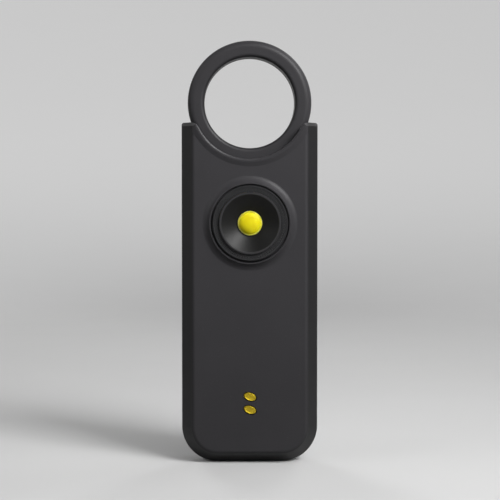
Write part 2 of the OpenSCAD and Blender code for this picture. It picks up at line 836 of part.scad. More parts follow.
// Dished throat with the button's guide, spokes, mounting ring and board posts
module siren_horn() {
    throat_r = guide_r + 2 * chamfer;
    slope = horn_depth / (mouth_in - throat_r);
    spread = horn_wall * sqrt(1 + 1 / (slope * slope));
    skirt = rim_front + (mouth_in + spread - mouth_r) * slope;
    tail = rim_front + (mouth_in + spread - guide_out_r) * slope;
    color("#1b1b1c")
    difference() {
        union() {
            turned(0, siren_z)
                polygon([[mouth_in, rim_front + chamfer], [mouth_in + chamfer, rim_front],
                    [mouth_r - chamfer, rim_front], [mouth_r, rim_front + chamfer],
                    [mouth_r, skirt], [guide_out_r, tail], [guide_out_r, guide_end],
                    [guide_r, guide_end], [guide_r, throat], [throat_r, throat]]);
            turned(0, siren_z)
                translate([ledge_r - spoke_w / 2, wall])
                    square([drop_in_r - ledge_r + spoke_w / 2, mount_ring_t]);
            for (a = [0:90:270])
                translate([0, 0, siren_z])
                    rotate([0, a, 0])
                        translate([-spoke_w / 2, at(wall), spoke_r])
                            cube([spoke_w, mount_ring_t, ledge_r - spoke_r]);
            for (sx = [-1, 1]) {
                pin(sx * post_r, siren_z, post_d / 2, wall + mount_ring_t / 3, switch_front);
                pin(sx * post_r, siren_z, post_pin_d / 2, wall + mount_ring_t / 3, switch_back + 0.4);
            }
        }
    }
}

// Soft ring between the horn and the cup
module siren_gasket() {
    color("#151515")
    turned(0, siren_z)
        translate([drop_in_r - gasket_w, gasket_front]) square([gasket_w, gasket_t]);
}

// Cup behind the horn that carries the sounder disc
module siren_cup() {
    color("#29292b")
    difference() {
        turned(0, siren_z)
            polygon([[0, cup_back], [0, cup_back - cup_wall], [disc_r - disc_step, cup_back - cup_wall],
                [disc_r - disc_step, disc_back], [cup_in_r, disc_back], [cup_in_r, cup_front],
                [drop_in_r, cup_front], [drop_in_r, cup_back]]);
        block(0, siren_z - drop_in_r, 2 * (siren_lead_x + lead_d + 0.2), 4 * cup_wall,
            switch_front - 0.2, disc_front - 0.4);
    }
}

// Brass disc of the sounder
module sounder_disc() {
    color("#c9a24a") pin(0, siren_z, disc_r, disc_front, disc_back);
}

// Ceramic layer behind the disc
module sounder_ceramic() {
    color("#d9d6cb") pin(0, siren_z, ceramic_d / 2, disc_back, disc_back + ceramic_t);
}

// A quarter bend of a lead in the Y Z plane, start angle counted from +Y towards +Z
module lead_elbow(x, y, z, start) {
    translate([x, y, z])
        rotate([90, 0, 90])
            rotate_extrude(angle = 90, start = start)
                translate([lead_bend, 0]) circle(d = lead_d, $fn = 32);
}

// Two leads from the sounder disc down to the main board
module siren_leads() {
    start_z = siren_z - cup_in_r + lead_bend + 2 * lead_d + 1;
    down_y = at(disc_front) - lead_bend - lead_stub;
    end_z = cell_top + lead_stub + lead_d / 2;
    color("#b02a26")
    for (x = [-siren_lead_x, siren_lead_x]) {
        translate([x, down_y + lead_bend, start_z])
            rotate([-90, 0, 0])
                cylinder(d = lead_d, h = lead_stub, $fn = 32);
        lead_elbow(x, down_y + lead_bend, start_z - lead_bend, 90);
        translate([x, down_y, end_z + lead_bend])
            cylinder(d = lead_d, h = start_z - end_z - 2 * lead_bend, $fn = 32);
        lead_elbow(x, down_y - lead_bend, end_z + lead_bend, 270);
        translate([x, at(board_back), end_z])
            rotate([-90, 0, 0])
                cylinder(d = lead_d, h = down_y - lead_bend - at(board_back), $fn = 32);
    }
}

// Yellow dome with a skirt, a flange and a stem for the tact switch
module strobe_button() {
    dome_r = button_r - dome_rim;
    ball_r = (dome_r * dome_r + dome_h * dome_h) / (2 * dome_h);
    edge = throat - button_proud;
    apex = edge - dome_h;
    bed = edge + chamfer;
    crown = edge + button_wall / 3;
    inside = button_r - button_wall;
    color("#f0d820")
    turned(0, siren_z) {
        intersection() {
            translate([0, apex + ball_r]) circle(r = ball_r);
            translate([0, apex - 1]) square([button_r, bed - apex + 1]);
        }
        polygon([[0, edge], [button_r - chamfer, edge], [button_r, bed], [button_r, flange_front],
            [flange_r, flange_front], [flange_r, flange_back], [inside, flange_back], [inside, crown],
            [stem_r, crown], [stem_r, stem_end], [0, stem_end]]);
    }
}

// Plunger of the tact switch, carried by the button's stem
module tact_plunger() {
    color("#1f1f1f") pin(0, siren_z, plunger_d / 2, stem_end, tact_front + plunger_seat);
}

// Tact switch with a hole for its plunger
module tact_switch() {
    color("#4a4d52")
    difference() {
        block(0, siren_z, tact_w, tact_w, tact_front, switch_front);
        pin(0, siren_z, plunger_d / 2 + plunger_gap, tact_front - 1,
            tact_front + plunger_seat + button_travel + play);
    }
}

// Two lamps beside the tact switch
module strobe_lamps() {
    color("#f4efc9")
    for (sx = [-1, 1]) block(sx * lamp_x, siren_z, lamp_w, lamp_l, switch_front - lamp_h, switch_front);
}

// Round board behind the horn
module switch_board() {
    color("#1f5a3a")
    difference() {
        pin(0, siren_z, switch_board_d / 2, switch_front, switch_back);
        for (sx = [-1, 1])
            pin(sx * post_r, siren_z, post_pin_d / 2 + play, switch_front - 1, switch_back + 1);
    }
}

// Sensor that notices the magnet leaving
module hall_sensor() {
    color("#202022")
    block(0, siren_z + switch_board_d / 2 - 1.5, sensor_w, sensor_l, switch_front - sensor_h, switch_front);
}

// Flat strip that joins the two boards
module flex_strip() {
    top = siren_z - switch_board_d / 2 + flex_tail;
    low = board_top - flex_tail;
    turn = siren_z - drop_in_r - flex_t;
    color("#c98a2e")
    sideways(flex_w)
        polygon([[at(switch_back), top], [at(switch_back), turn],
            [at(board_back), board_top], [at(board_back), low],
            [at(board_back) + flex_t, low], [at(board_back) + flex_t, board_top - flex_t / 2],
            [at(switch_back) + flex_t, turn - flex_t / 2], [at(switch_back) + flex_t, top]]);
}

// Long board in front of the battery
module main_board() {
    color("#1d5c3c")
    difference() {
        block(0, board_z + board_h / 2, board_w, board_h, board_depth, board_back);
        for (p = board_posts) pin(p[0], p[1], board_pin_d / 2 + play, board_depth - 1, board_back + 1);
    }
}

// Controller on the front of the main board
module controller_chip() {
    color("#18181a")
    block(-chip_x, board_z + board_h * parts_row, chip_w, chip_w, board_depth - chip_h, board_depth);
}

// Boost inductor on the front of the main board
module boost_inductor() {
    color("#3c3b39")
    difference() {
        block(chip_x, board_z + board_h * parts_row, coil_w, coil_w, board_depth - coil_h, board_depth);
        turned(chip_x, board_z + board_h * parts_row)
            translate([coil_w * 0.34, board_depth - coil_h - 1]) square([coil_w * 0.06, 1.4]);
    }
}

// Small capacitors on the front of the main board
module capacitors() {
    color("#a58a63")
    for (i = [0:5])
        block((i - 2.5) * cap_pitch, board_z + board_h * caps_row, cap_w, cap_l,
            board_depth - cap_w, board_depth);
}

// Pouch cell between the main board and the rear shell
module battery_cell() {
    color("#b8bcc2")
    upright()
        translate([0, 0, -at(cell_back)])
            linear_extrude(cell_t) {
                translate([-cell_w / 2 + cell_r, cell_z]) square([cell_w - 2 * cell_r, cell_h]);
                translate([-cell_w / 2, cell_z + cell_r]) square([cell_w, cell_h - 2 * cell_r]);
                for (sx = [-1, 1], z = [cell_z + cell_r, cell_top - cell_r])
                    translate([sx * (cell_w / 2 - cell_r), z]) circle(r = cell_r);
            }
}

// Foam pad that holds the cell to the rear shell
module battery_pad() {
    color("#4a4a4a")
    block(0, cell_z + cell_h / 2, cell_w - 2 * pad_inset, cell_h - 2 * pad_inset,
        cell_back, cell_back + pad_t);
}

// Two leads from the cell up and over to the main board
module battery_leads() {
    mid_y = at((cell_front + cell_back) / 2);
    end_z = cell_top + lead_stub + lead_bend;
    color("#22252b")
    for (x = [-cell_lead_x, cell_lead_x]) {
        translate([x, mid_y, cell_top]) cylinder(d = lead_d, h = lead_stub, $fn = 32);
        lead_elbow(x, mid_y - lead_bend, end_z - lead_bend, 0);
        translate([x, at(board_back), end_z])
            rotate([-90, 0, 0])
                cylinder(d = lead_d, h = mid_y - lead_bend - at(board_back), $fn = 32);
    }
}

// Gold contact: oval head in its pocket, shank through the panel
module charge_contact(z) {
    color("#a98f2e")
    union() {
        translate([0, at(contact_sink), z])
            rotate([-90, contact_slant, 0])
                scale([contact_w / 2, contact_h / 2, 1])
                    cylinder(r = 1, h = contact_pocket - contact_sink);
        translate([0, front_y, z])
            rotate([-90, contact_slant, 0])
                scale([contact_w / 2 - contact_step, contact_h / 2 - contact_step, 1])
                    cylinder(r = 1, h = contact_pocket);
        pin(0, z, shank_d / 2, contact_sink, contact_end);
    }
}

module charge_contact_upper() {
    charge_contact(contact_z);
}

module charge_contact_lower() {
    charge_contact(contact_z - contact_pitch);
}

// Leaf springs from the main board to the charging contacts
module contact_springs() {
    base = at(board_depth);
    tip = at(contact_end);
    color("#c8a94a")
    for (i = [0, 1])
        mirror([i, 0, 0])
            translate([0, 0, contact_z - i * contact_pitch - spring_w / 2])
                linear_extrude(spring_w)
                    polygon([[spring_l * 0.3, base], [spring_l - 2 * spring_t, base],
                        [spring_l, base - 2 * spring_t], [spring_l, base - 4 * spring_t],
                        [shank_d * 0.6, tip], [-shank_d * 0.6, tip],
                        [-shank_d * 0.6, tip + spring_t], [shank_d * 0.6, tip + spring_t],
                        [spring_l - 1.6 * spring_t, base - 3 * spring_t],
                        [spring_l - 1.6 * spring_t, base - 2.4 * spring_t],
                        [spring_l - 2.6 * spring_t, base - spring_t], [spring_l * 0.3, base - spring_t]]);
}

// Centres the whole depth, horn rim included, on Y = 0
module placed() {
    translate([0, front_reach / 2, 0]) children();
}

placed() front_shell();
placed() rear_shell();
placed() shell_screws();
placed() pull_ring();
placed() ring_magnet();
placed() keeper_plate();
placed() siren_grille();
placed() siren_mesh();
placed() siren_horn();
placed() siren_gasket();
placed() siren_cup();
placed() sounder_disc();
placed() sounder_ceramic();
placed() siren_leads();
placed() strobe_button();
placed() tact_plunger();
placed() tact_switch();
placed() strobe_lamps();
placed() switch_board();
placed() hall_sensor();
placed() flex_strip();
placed() main_board();
placed() controller_chip();
placed() boost_inductor();
placed() capacitors();
placed() battery_cell();
placed() battery_pad();
placed() battery_leads();
placed() charge_contact_upper();
placed() charge_contact_lower();
placed() contact_springs();
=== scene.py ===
# %% [markdown]
# # A personal safety alarm in the studio
# The alarm is a dark plastic slab with a finger ring on top, a siren horn with a yellow button
# in its middle, and two gold charging contacts near the foot. Its construction comes from a
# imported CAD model, which stays exactly where it is. This lesson adds what CAD leaves out: the
# finish of each surface, a few small pieces with softer edges, the light and the camera.

# %% Load the frame
import json
import math

import bmesh
import bpy
from mathutils import Matrix, Vector

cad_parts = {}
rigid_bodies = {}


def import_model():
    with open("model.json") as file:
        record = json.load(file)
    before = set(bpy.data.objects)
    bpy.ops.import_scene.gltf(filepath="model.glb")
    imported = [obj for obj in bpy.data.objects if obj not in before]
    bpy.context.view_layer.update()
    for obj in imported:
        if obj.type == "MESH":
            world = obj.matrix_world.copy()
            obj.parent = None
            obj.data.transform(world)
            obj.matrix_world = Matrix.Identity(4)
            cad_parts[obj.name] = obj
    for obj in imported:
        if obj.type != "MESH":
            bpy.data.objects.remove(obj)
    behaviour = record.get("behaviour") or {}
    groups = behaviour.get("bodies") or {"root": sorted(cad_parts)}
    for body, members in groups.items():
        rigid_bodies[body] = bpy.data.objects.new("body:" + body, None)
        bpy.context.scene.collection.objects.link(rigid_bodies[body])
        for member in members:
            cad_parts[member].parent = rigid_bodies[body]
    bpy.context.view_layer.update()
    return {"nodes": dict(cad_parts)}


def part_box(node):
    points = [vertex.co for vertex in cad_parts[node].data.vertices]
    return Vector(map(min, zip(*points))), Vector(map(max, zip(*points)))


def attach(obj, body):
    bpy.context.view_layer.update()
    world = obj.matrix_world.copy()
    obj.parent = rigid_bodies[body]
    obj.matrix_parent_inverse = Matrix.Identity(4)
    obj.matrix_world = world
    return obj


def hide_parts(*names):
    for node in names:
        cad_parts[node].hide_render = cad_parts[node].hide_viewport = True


for leftover in list(bpy.data.objects):
    bpy.data.objects.remove(leftover)
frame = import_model()
nodes = frame["nodes"]
MM = 0.001
print("nodes:", len(nodes))

# %% [markdown]
# # Landmarks
# A finish often follows a place on the object: the ring wears where a finger runs through it,
# and the horn was turned about its own axis. Those places are read from the CAD nodes, so the
# finishes move along when the model changes.

# %% Landmarks
def middle(node):
    low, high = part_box(node)
    return (low + high) / 2


def span(node):
    low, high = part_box(node)
    return high - low


contacts = ("charge_contact_upper", "charge_contact_lower")
panel_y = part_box(contacts[0])[0].y
ring_r = span("pull_ring").x / 2
ring_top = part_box("pull_ring")[1].z
ring_centre = Vector((0, middle("pull_ring").y, ring_top - ring_r))
siren_centre = middle("siren_grille")
print("ring centre", ring_centre, "siren centre", siren_centre)
print("front panel at", round(panel_y / MM, 2), "mm")

# %% [markdown]
# # Shader maths as formulas
# A node tree is easier to read as a formula. `Wire` wraps one output socket and overloads the
# operators, so `1 - mask` adds a Math node. Colours and vectors take other nodes, because a Math
# node turns a colour grey.

# %% Wires
def plug(value, socket):
    """Link a wire to a socket, or set the socket's own value."""
    if isinstance(value, Wire):
        socket.id_data.links.new(value.socket, socket)
    elif hasattr(value, "__len__") and len(value) == 3 and len(socket.default_value) == 4:
        socket.default_value = (*value, 1)
    else:
        socket.default_value = value


class Wire:
    """One output socket that can stand in a formula."""

    def __init__(self, socket):
        self.socket = socket

    def math(self, operation, first, second=0.0):
        node = self.socket.id_data.nodes.new("ShaderNodeMath")
        node.operation = operation
        plug(first, node.inputs[0])
        plug(second, node.inputs[1])
        return Wire(node.outputs[0])

    def __add__(self, other):
        return self.math("ADD", self, other)

    def __radd__(self, other):
        return self.math("ADD", other, self)

    def __sub__(self, other):
        return self.math("SUBTRACT", self, other)

    def __rsub__(self, other):
        return self.math("SUBTRACT", other, self)

    def __mul__(self, other):
        return self.math("MULTIPLY", self, other)

    def __rmul__(self, other):
        return self.math("MULTIPLY", other, self)

    def __truediv__(self, other):
        return self.math("DIVIDE", self, other)

    def __pow__(self, other):
        return self.math("POWER", self, other)

    def __abs__(self):
        return self.math("ABSOLUTE", self)

    def at_least(self, other):
        return self.math("MAXIMUM", self, other)


print("wires ready")

# %% [markdown]
# # A material under construction
# `Finish` is a material that grows around one Principled shader. Its method `node` adds any node:
# it sets the node's settings first and its sockets after them, because a setting can change which
# sockets there are. The other methods are short names for the nodes that the finishes share. All
# patterns are counted in millimetres of the object, so their scale can be read from the numbers.

# %% Finishes
MIX_FACTOR, MIX_BASE, MIX_OVER, MIX_RESULT = 0, 6, 7, 2


class Finish:
    """A material that is built node by node around one Principled shader."""

    def __init__(self, name, **constants):
        self.material = bpy.data.materials.new(name)
        self.material.use_nodes = True
        self.tree = self.material.node_tree
        self.shader = next(n for n in self.tree.nodes if n.type == "BSDF_PRINCIPLED")
        self.set(**constants)

    def set(self, **values):
        for key, value in values.items():
            plug(value, self.shader.inputs[key.replace("_", " ")])

    def on(self, *names):
        for name in names:
            nodes[name].material_slots[0].material = self.material

    def node(self, kind, settings=None, sockets=None, out=0):
        made = self.tree.nodes.new(kind)
        for key, value in (settings or {}).items():
            setattr(made, key, value)
        for key, value in (sockets or {}).items():
            plug(value, made.inputs[key])
        return Wire(made.outputs[out])

    def place(self, centre=(0, 0, 0), stretch=(1, 1, 1)):
        """Object coordinates in millimetres, counted from a point of the object."""
        coords = self.node("ShaderNodeTexCoord", out="Object")
        moved = self.node("ShaderNodeVectorMath", {"operation": "SUBTRACT"},
                          {0: coords, 1: centre})
        return self.node("ShaderNodeMapping", None,
                         {"Vector": moved, "Scale": [s / MM for s in stretch]})

    def axes(self, place):
        split = self.node("ShaderNodeSeparateXYZ", None, {"Vector": place}).socket.node
        return [Wire(socket) for socket in split.outputs]

    def from_axis(self, place):
        """Distance from the line that runs from front to back through the place's origin."""
        x, _, z = self.axes(place)
        return (x * x + z * z) ** 0.5

    def noise(self, place, per_mm, detail=2.0, rough=0.5):
        return self.node("ShaderNodeTexNoise", None,
                         {"Vector": place, "Scale": per_mm, "Detail": detail, "Roughness": rough})

    def fade(self, value, start, end):
        """A mask that is 0 at start, 1 at end and smooth between them."""
        return self.node("ShaderNodeMapRange", {"interpolation_type": "SMOOTHSTEP"},
                         {"Value": value, "From Min": start, "From Max": end})

    def tint(self, mask, base, over, blend="MIX"):
        return self.node("ShaderNodeMix", {"data_type": "RGBA", "blend_type": blend},
                         {MIX_FACTOR: mask, MIX_BASE: base, MIX_OVER: over}, MIX_RESULT)

    def bump(self, height, depth_mm):
        self.set(Normal=self.node("ShaderNodeBump", None,
                                  {"Height": height, "Distance": depth_mm * MM}))


def shade(colour, factor):
    return tuple(channel * factor for channel in colour)


print("shader helpers ready")

# %% [markdown]
# # Moulded plastic
# The shells and the ring are one family: dark plastic from a spark-eroded mould. Its grain is a
# fifth of a millimetre wide, so from a step away it only softens the reflection. Slow cloudy
# noise keeps the shade from being flat, and a second noise makes some places a little shinier,
# as handling does. Painting a flat grey would be quicker, but the edges would look cut out.

# %% Plastic with a moulded grain
plastic_ior = 1.2
plastic_gloss = 0.7
grain_per_mm = 5.5
grain_depth = 0.010
pits_per_mm = 14
cloud_per_mm = 0.07
handling_per_mm = 0.3
specks_per_mm = 2.6
speck_levels = (0.79, 0.83)
speck_strength = 0.35
speck_lift = 2.0
noise_levels = (0.3, 0.7)
tone_swing = 0.05


def moulded_plastic(name, tone, rough, centre=(0, 0, 0), zones=()):
    finish = Finish(name, IOR=plastic_ior, Specular_IOR_Level=plastic_gloss)
    place = finish.place(centre)
    grain = finish.noise(place, grain_per_mm, 2)
    pits = finish.noise(place, pits_per_mm, 1)
    cloud = finish.noise(place, cloud_per_mm, 3)
    handling = finish.noise(place, handling_per_mm, 4, 0.6)
    specks = finish.fade(finish.noise(place, specks_per_mm, 0), *speck_levels)
    clouded = finish.fade(0.7 * cloud + 0.3 * grain, *noise_levels)
    body = finish.tint(clouded, shade(tone, 1 - tone_swing), shade(tone, 1 + tone_swing))
    body = finish.tint(specks * speck_strength, body, shade(tone, speck_lift))
    roughness = rough + 0.06 * finish.fade(handling, *noise_levels) + 0.05 * grain
    for zone, factor, rougher in zones:
        mask = zone(finish)
        body = finish.tint(mask, body, (factor, factor, factor), "MULTIPLY")
        roughness = roughness + rougher * mask
    finish.set(Base_Color=body, Roughness=roughness)
    finish.bump(0.7 * grain + 0.3 * pits, grain_depth)
    return finish


print("grain", round(1 / grain_per_mm, 2), "mm wide and", grain_depth, "mm deep")

# %% [markdown]
# # Zones of a surface
# The front bevel's colour is painted darker, as painted shade for a facet that turns away from
# the light, and the bevel is a little smoother. The border is the front panel's outline, a
# rectangle with two round corners at the foot, so its distance is worked out in the shader. The
# saddle's lip is burnished by the ring. The lower half is painted darker towards the foot, as
# painted shade where less light falls, and the ring's bore is painted darker as painted shade.
# Each zone is a mask, and a pair of numbers says where it starts and where it is full.

# %% Zones of the shells and the ring
bevel_width = 3
bevel_end = panel_y / MM + 4.6
panel_half = span("front_shell").x / 2 / MM - bevel_width
panel_round = 6.5
saddle_r = 14.9
bore_r = 12.0
panel_border = (-0.1, 0.6)
bevel_border = (bevel_end + 0.1, bevel_end - 0.3)
lower_shade_heights = (80, 0)
lip_border = (saddle_r + 1.1, saddle_r + 0.7)
bore_border = (bore_r + 0.8, bore_r + 0.1)


# Mask of the front bevel, where painted shade darkens the colour.
def bevel_painted_shade(finish):
    x, y, z = finish.axes(finish.place())
    out = (abs(x) - (panel_half - panel_round)).at_least(0)
    below = (bevel_width + panel_round - z).at_least(0)
    distance = (out * out + below * below) ** 0.5 - panel_round
    return finish.fade(distance, *panel_border) * finish.fade(y, *bevel_border)


# Mask of the lower half, where painted shade darkens the colour towards the foot.
def lower_painted_shade(finish):
    return finish.fade(finish.axes(finish.place())[2], *lower_shade_heights)


def saddle_lip(finish):
    return finish.fade(finish.from_axis(finish.place(ring_centre)), *lip_border)


# Mask of the ring's bore, where painted shade darkens the colour.
def bore_painted_shade(finish):
    return finish.fade(finish.from_axis(finish.place(ring_centre)), *bore_border)


print("front panel", 2 * panel_half, "mm wide")

# %% [markdown]
# # Shells and ring
# A zone brings two numbers: a factor on the tone, and what it adds to the roughness. The ring is
# a touch lighter than the shells, as a piece from another mould often is.

# %% Shells and ring
shell_tone = (0.0322, 0.0311, 0.0336)
shell_rough = 0.36
# The tone factors of the bevel and the lower half are painted shade; the lip's zone only changes
# roughness.
shell_zones = [(bevel_painted_shade, 0.26, -0.06), (lower_painted_shade, 0.78, -0.01), (saddle_lip, 1.0, -0.12)]
ring_tone = (0.0329, 0.0318, 0.0343)
ring_rough = 0.35
# The bore's tone factor is painted shade.
ring_zones = [(bore_painted_shade, 0.55, 0.02)]
shell_plastic = moulded_plastic("shell plastic", shell_tone, shell_rough, zones=shell_zones)
ring_plastic = moulded_plastic("ring plastic", ring_tone, ring_rough, ring_centre, ring_zones)
shell_plastic.on("front_shell", "rear_shell")
ring_plastic.on("pull_ring")
print("plastic on the shells and the ring")

# %% [markdown]
# # The siren's finishes
# The horn is polished black plastic, so it shows the lamp as one long streak. Faint turning
# marks from the mould break the streak a little. The marks are noise along the radius alone. The
# horn's rim, the grille around it and the mesh between them are duller and a shade lighter.

# %% Horn, grille and mesh
horn_tone = (0.0055, 0.0055, 0.0054)
horn_rough = 0.34
horn_gloss = 0.14
marks_per_mm = 9
marks_depth = 0.004
smear_per_mm = 0.6
grille_width = 2.45
rim_in = span("siren_grille").x / 2 / MM - grille_width
rim_border = (rim_in - 0.08, rim_in + 0.05)
rim_tone = (0.027, 0.0265, 0.028)
grille_tone = (0.021, 0.021, 0.022)
mesh_tone = (0.027, 0.027, 0.028)


def horn_plastic(centre):
    finish = Finish("horn plastic", IOR=1.5, Specular_IOR_Level=horn_gloss)
    place = finish.place(centre)
    radius = finish.from_axis(place)
    along_radius = finish.node("ShaderNodeCombineXYZ", None, {"X": radius})
    marks = finish.noise(along_radius, marks_per_mm, 2)
    smear = finish.noise(place, smear_per_mm, 3)
    rim = finish.fade(radius, *rim_border)
    cone = finish.tint(smear, shade(horn_tone, 0.85), shade(horn_tone, 1.15))
    finish.set(
        Base_Color=finish.tint(rim, cone, rim_tone),
        Roughness=horn_rough + 0.06 * marks + 0.05 * smear + 0.12 * rim)
    finish.bump(marks, marks_depth)
    return finish


horn_plastic(siren_centre).on("siren_horn")
moulded_plastic("grille plastic", grille_tone, 0.36, siren_centre).on("siren_grille")
moulded_plastic("mesh black", mesh_tone, 0.38, siren_centre).on("siren_mesh")
print("siren dressed, rim from radius", round(rim_in, 2), "mm")

# %% [markdown]
# # The yellow button
# The strobe shines through the button, so it is a slightly cloudy, light-passing plastic. Light
# that travels under the surface softens its shaded side. The thin flat edge around the dome is
# painted paler, a painted highlight. Light-passing plastic also looks flatter than it is, and a
# shallow hollow in the bump height does the same here without touching the mesh.

# %% Button
dome_r = 2.9
dome_hollow = 0.75
dome_deep = (0.625, 0.540, 0.008)
dome_light = (0.685, 0.595, 0.013)
# A painted highlight: the paler colour of the dome's thin flat edge.
painted_edge_highlight = (0.78, 0.70, 0.09)
edge_border = (0.96, 1.02)
light_reach = 2.4 * MM


def button_plastic(centre):
    finish = Finish(
        "button yellow", IOR=1.49, Specular_IOR_Level=0.08, Subsurface_Weight=0.8,
        Subsurface_Radius=(1.0, 0.85, 0.2), Subsurface_Scale=light_reach)
    place = finish.place(centre)
    out = finish.from_axis(place) / dome_r
    cloud = finish.noise(place, 0.9, 3)
    grain = finish.noise(place, 9, 2)
    dome = finish.tint(cloud, dome_deep, dome_light)
    finish.set(
        Base_Color=finish.tint(finish.fade(out, *edge_border), dome, painted_edge_highlight),
        Roughness=0.36 + 0.10 * cloud)
    finish.bump(0.004 * grain + dome_hollow * (out * out), 1.0)
    return finish


button_plastic(middle("strobe_button")).on("strobe_button")
print("button dressed")

# %% [markdown]
# # Metals
# The charging contacts are gold over copper, the screws plated steel. Metal takes its look
# from what it reflects, so it mostly needs the right tint, fine wipe marks in the roughness
# and small differences of tone. A stretched pattern gives the marks a direction.

# %% Metals
wipe_per_mm = 3.0
stain_per_mm = 0.8
even = (1, 1, 1)


def plated_metal(name, tone, rough, stretch, marks_mm):
    finish = Finish(name, Metallic=1.0)
    wipe = finish.noise(finish.place(stretch=stretch), wipe_per_mm, 3)
    stain = finish.noise(finish.place(), stain_per_mm, 3)
    finish.set(
        Base_Color=finish.tint(stain, shade(tone, 0.86), shade(tone, 1.1)),
        Roughness=rough + 0.12 * wipe)
    finish.bump(wipe, marks_mm)
    return finish


# Tone, roughness, stretch of the marks, their depth in millimetres, and the nodes
metal_looks = {
    "contact gold": ((0.48, 0.35, 0.024), 0.30, (1, 1, 5), 0.003, contacts),
    "screw steel": ((0.42, 0.43, 0.45), 0.26, even, 0.003, ["shell_screws"]),
    "magnet nickel": ((0.62, 0.62, 0.63), 0.16, even, 0.003, ["ring_magnet"]),
    "keeper steel": ((0.46, 0.47, 0.49), 0.32, (0.2, 6, 1), 0.003, ["keeper_plate"]),
    "sounder brass": ((0.26, 0.18, 0.07), 0.32, (0.3, 1, 5), 0.003, ["sounder_disc"]),
    "spring bronze": ((0.60, 0.42, 0.17), 0.26, (0.3, 1, 6), 0.003, ["contact_springs"]),
    "cell pouch": ((0.55, 0.57, 0.60), 0.34, (0.4, 1, 3), 0.02, ["battery_cell"]),
}
metals = {}
for name, (*look, dressed) in metal_looks.items():
    metals[name] = plated_metal(name, *look)
    metals[name].on(*dressed)
print("metals:", len(metals))

# %% [markdown]
# # The inside
# The electronics are sealed in, and only show when the shells are taken apart. They still get
# true finishes: solder mask, moulded resin, film, foam and insulation.

# %% Inner pieces
def inner_finish(name, tone, rough, per_mm, spread, bump_mm):
    finish = Finish(name)
    pattern = finish.noise(finish.place(), per_mm, 3)
    finish.set(
        Base_Color=finish.tint(pattern, shade(tone, 1 - spread), shade(tone, 1 + spread)),
        Roughness=rough + 0.15 * pattern)
    finish.bump(pattern, bump_mm)
    return finish


boards = ["switch_board", "main_board"]
chips = ["controller_chip", "hall_sensor"]
switch = ["tact_switch", "tact_plunger"]
# Tone, roughness, pattern per millimetre, spread of the tone, depth of the bump, and the nodes
inner_looks = {
    "board laminate": ((0.016, 0.105, 0.042), 0.28, 1.2, 0.18, 0.010, boards),
    "chip resin": ((0.012, 0.012, 0.013), 0.42, 8.0, 0.25, 0.006, chips),
    "switch plastic": ((0.055, 0.058, 0.066), 0.40, 6.0, 0.12, 0.006, switch),
    "flex film": ((0.50, 0.22, 0.03), 0.26, 0.8, 0.15, 0.004, ["flex_strip"]),
    "ferrite": ((0.040, 0.038, 0.036), 0.55, 5.0, 0.25, 0.015, ["boost_inductor"]),
    "capacitor body": ((0.36, 0.24, 0.12), 0.45, 4.0, 0.15, 0.005, ["capacitors"]),
    "pad foam": ((0.06, 0.06, 0.06), 0.80, 3.0, 0.35, 0.090, ["battery_pad"]),
    "gasket rubber": ((0.012, 0.012, 0.012), 0.60, 6.0, 0.20, 0.012, ["siren_gasket"]),
    "cup plastic": ((0.020, 0.020, 0.021), 0.45, 5.0, 0.10, 0.008, ["siren_cup"]),
    "sounder ceramic": ((0.66, 0.64, 0.58), 0.55, 6.0, 0.06, 0.004, ["sounder_ceramic"]),
    "lead red": ((0.42, 0.02, 0.015), 0.38, 2.0, 0.08, 0.004, ["siren_leads"]),
    "lead black": ((0.014, 0.015, 0.018), 0.38, 2.0, 0.12, 0.004, ["battery_leads"]),
    "lamp resin": ((0.80, 0.72, 0.34), 0.22, 2.0, 0.06, 0.003, ["strobe_lamps"]),
}
for name, (*look, dressed) in inner_looks.items():
    inner_finish(name, *look).on(*dressed)
print("inner finishes:", len(inner_looks))

# %% [markdown]
# # Small turned pieces
# Contact pads and screw heads have soft edges that CAD leaves out. Both are lathe work: a few
# points from the axis outwards, joined to a line and spun once around. Spinning keeps the rings
# of faces even, which a sphere that is pressed flat would not. A spin leaves double vertices on
# the axis, so they are merged, and then the faces are turned outwards.

# %% Lathe and hand-over
merge_gap = 0.001 * MM
sharp_angle = math.radians(40)


def lathe(shape, profile, steps=64):
    """Spin a profile of radius and height, and return the vertices that this made."""
    earlier = set(shape.verts)
    corners = [shape.verts.new((radius * MM, 0, height * MM)) for radius, height in profile]
    edges = [shape.edges.new(pair) for pair in zip(corners, corners[1:])]
    bmesh.ops.spin(shape, geom=corners + edges, cent=(0, 0, 0), axis=(0, 0, 1),
                   angle=math.tau, steps=steps, use_merge=True)
    return [v for v in shape.verts if v not in earlier]


def smooth_object(name, shape, finish):
    bmesh.ops.remove_doubles(shape, verts=shape.verts, dist=merge_gap)
    bmesh.ops.recalc_face_normals(shape, faces=shape.faces)
    mesh = bpy.data.meshes.new(name)
    shape.to_mesh(mesh)
    shape.free()
    mesh.polygons.foreach_set("use_smooth", [True] * len(mesh.polygons))
    mesh.materials.append(finish.material)
    made = bpy.data.objects.new(name, mesh)
    bpy.context.scene.collection.objects.link(made)
    print(name, "faces:", len(mesh.polygons))
    return made


def hand_over(name, shape, finish, body, slot, *replaced):
    made = smooth_object(name, shape, finish)
    made.data.set_sharp_from_angle(angle=sharp_angle)
    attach(made, body)
    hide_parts(*replaced)


print("lathe ready")

# %% [markdown]
# # Contact pads
# Each pad is a slightly dished oval with a rounded rim, set aslant in its pocket. A low flange
# around it stays in the pocket's shade and draws a dark outline. The profile is spun as a disc of
# radius one and then stretched to the oval. The shank behind it stays round.

